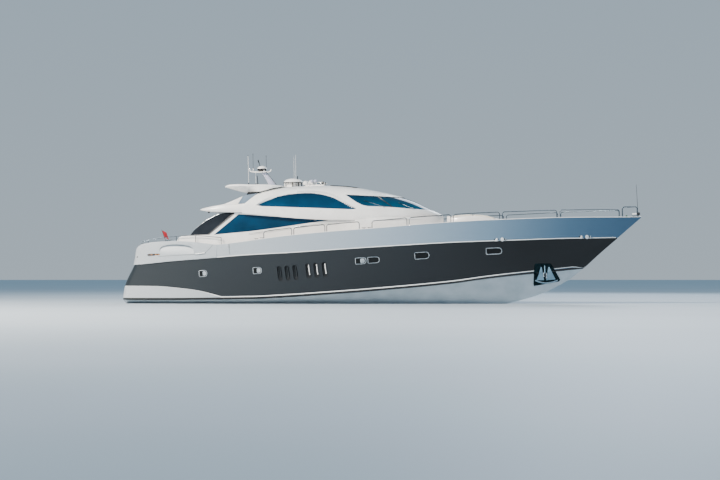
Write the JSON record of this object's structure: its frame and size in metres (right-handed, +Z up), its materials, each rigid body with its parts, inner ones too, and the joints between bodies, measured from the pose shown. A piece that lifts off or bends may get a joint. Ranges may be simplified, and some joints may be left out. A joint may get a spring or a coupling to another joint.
{
  "type": "motor yacht",
  "caption": "Long enclosed motor yacht with a raked bow, arched saloon windows, side rails, aft cockpit and stern garage.",
  "frame": {"origin": "on the centreline amidships, on the waterline of the yacht at rest", "axes": "+X to the bow, +Y to port, +Z up"},
  "size_m": [33.01, 6.6, 10.9897],
  "materials": {
    "graphite_topcoat": "satin metallic topcoat over moulded hull",
    "silver_topcoat": "gloss silver metallic topcoat",
    "white_gelcoat": "gloss white gelcoat",
    "deck_gelcoat": "non-slip gelcoat",
    "teak": "oiled teak",
    "varnished_wood": "varnished wood",
    "tinted_glass": "dark blue tinted glass",
    "cream_cushion": "woven cushion cover",
    "cream_leather": "soft leather",
    "dark_trim": "grained black",
    "polished_steel": "polished stainless steel",
    "propeller_bronze": "cast bronze",
    "red_bunting": "plain red woven bunting"
  },
  "bodies": {
    "yacht": {"hull": "graphite_topcoat", "topside_starboard": "silver_topcoat", "topside_port": "silver_topcoat", "upper_house": "white_gelcoat", "aft_overhang": "white_gelcoat", "radar_wing": "white_gelcoat", "coachroof": "white_gelcoat", "foredeck_lounge": "white_gelcoat", "house_side_starboard": "white_gelcoat", "house_side_port": "white_gelcoat", "saloon_aft_wall": "white_gelcoat", "mast": "white_gelcoat", "radome": "white_gelcoat", "roof_dome": "white_gelcoat", "light_bar": "white_gelcoat", "stern_moulding": "white_gelcoat", "deck": "deck_gelcoat", "cockpit_sole": "teak", "cockpit_table": "teak", "saloon_interior": "varnished_wood", "ensign_staff": "varnished_wood", "arch_window_starboard": "tinted_glass", "arch_window_port": "tinted_glass", "windscreen_centre": "tinted_glass", "windscreen_starboard": "tinted_glass", "windscreen_port": "tinted_glass", "rear_window": "tinted_glass", "side_window_starboard": "tinted_glass", "side_window_port": "tinted_glass", "quarter_screen_starboard": "tinted_glass", "quarter_screen_port": "tinted_glass", "aft_sunpad": "cream_cushion", "cockpit_sofa": "cream_leather", "helm_seat": "cream_leather", "rail_starboard": "polished_steel", "rail_port": "polished_steel", "windlass": "polished_steel", "anchor_starboard": "polished_steel", "anchor_port": "polished_steel", "jackstaff": "polished_steel", "shaft_starboard": "polished_steel", "shaft_port": "polished_steel", "ensign": "red_bunting"},
    "deck_hatch_1": {"deck_hatch_1": "tinted_glass"},
    "deck_hatch_2": {"deck_hatch_2": "tinted_glass"},
    "garage_door": {"garage_door": "silver_topcoat"},
    "propeller_port": {"propeller_port": "propeller_bronze"},
    "propeller_starboard": {"propeller_starboard": "propeller_bronze"},
    "rudder_port": {"rudder_port": "propeller_bronze"},
    "rudder_starboard": {"rudder_starboard": "propeller_bronze"},
    "saloon_door_port": {"saloon_door_port": "tinted_glass"},
    "saloon_door_starboard": {"saloon_door_starboard": "tinted_glass"},
    "searchlight": {"searchlight": "polished_steel"},
    "side_gate_port": {"side_gate_port": "silver_topcoat"},
    "side_gate_starboard": {"side_gate_starboard": "silver_topcoat"},
    "steering_wheel": {"steering_wheel": "dark_trim"},
    "sunroof": {"sunroof": "tinted_glass"}
  },
  "joints": [
    {"name": "propeller_starboard_spin", "type": "hinge", "parent": "yacht", "child": "propeller_starboard", "pos_m": [-14.15, -1.45, -1.24], "axis": [-0.9917, 0, -0.1289], "continuous": true},
    {"name": "propeller_port_spin", "type": "hinge", "parent": "yacht", "child": "propeller_port", "pos_m": [-14.15, 1.45, -1.24], "axis": [-0.9917, 0, -0.1289], "continuous": true},
    {"name": "rudder_starboard_turn", "type": "hinge", "parent": "yacht", "child": "rudder_starboard", "pos_m": [-15.25, -1.45, -0.57], "axis": [0, 0, 1], "range_deg": [-35, 35]},
    {"name": "rudder_port_turn", "type": "hinge", "parent": "yacht", "child": "rudder_port", "pos_m": [-15.25, 1.45, -0.57], "axis": [0, 0, 1], "range_deg": [-35, 35]},
    {"name": "steering_wheel_turn", "type": "hinge", "parent": "yacht", "child": "steering_wheel", "pos_m": [-0.929, -1.1, 4.968], "axis": [0.6884, 0, -0.7254], "range_deg": [-540, 540]},
    {"name": "garage_door_lift", "type": "hinge", "parent": "yacht", "child": "garage_door", "pos_m": [-14.38, 0, 2.49], "axis": [0, 1, 0], "range_deg": [0, 75]},
    {"name": "saloon_door_starboard_slide", "type": "slide", "parent": "yacht", "child": "saloon_door_starboard", "axis": [0, -1, 0], "range_m": [0, 1.12]},
    {"name": "saloon_door_port_slide", "type": "slide", "parent": "yacht", "child": "saloon_door_port", "axis": [0, 1, 0], "range_m": [0, 1.12]},
    {"name": "side_gate_starboard_swing", "type": "hinge", "parent": "yacht", "child": "side_gate_starboard", "pos_m": [-9.3754, -3.125, 3.3], "axis": [0, 0, 1], "range_deg": [-90, 0]},
    {"name": "side_gate_port_swing", "type": "hinge", "parent": "yacht", "child": "side_gate_port", "pos_m": [-9.3754, 3.125, 3.3], "axis": [0, 0, 1], "range_deg": [0, 90]},
    {"name": "sunroof_tilt", "type": "hinge", "parent": "yacht", "child": "sunroof", "pos_m": [-3.16, 0, 7.11569], "axis": [0, -1, 0], "range_deg": [0, 35]},
    {"name": "deck_hatch_1_lift", "type": "hinge", "parent": "yacht", "child": "deck_hatch_1", "pos_m": [8.56, 0, 4.4962], "axis": [0, -1, 0], "range_deg": [0, 85]},
    {"name": "deck_hatch_2_lift", "type": "hinge", "parent": "yacht", "child": "deck_hatch_2", "pos_m": [10.36, 0, 4.53768], "axis": [0, -1, 0], "range_deg": [0, 85]},
    {"name": "searchlight_pan", "type": "hinge", "parent": "yacht", "child": "searchlight", "pos_m": [-3.95, 0, 7.2], "axis": [0, 0, 1], "range_deg": [-170, 170]}
  ],
  "couplings": [
    {"joint": "rudder_port_turn", "follows": "rudder_starboard_turn", "ratio": 1},
    {"joint": "steering_wheel_turn", "follows": "rudder_starboard_turn", "ratio": 15.429}
  ]
}
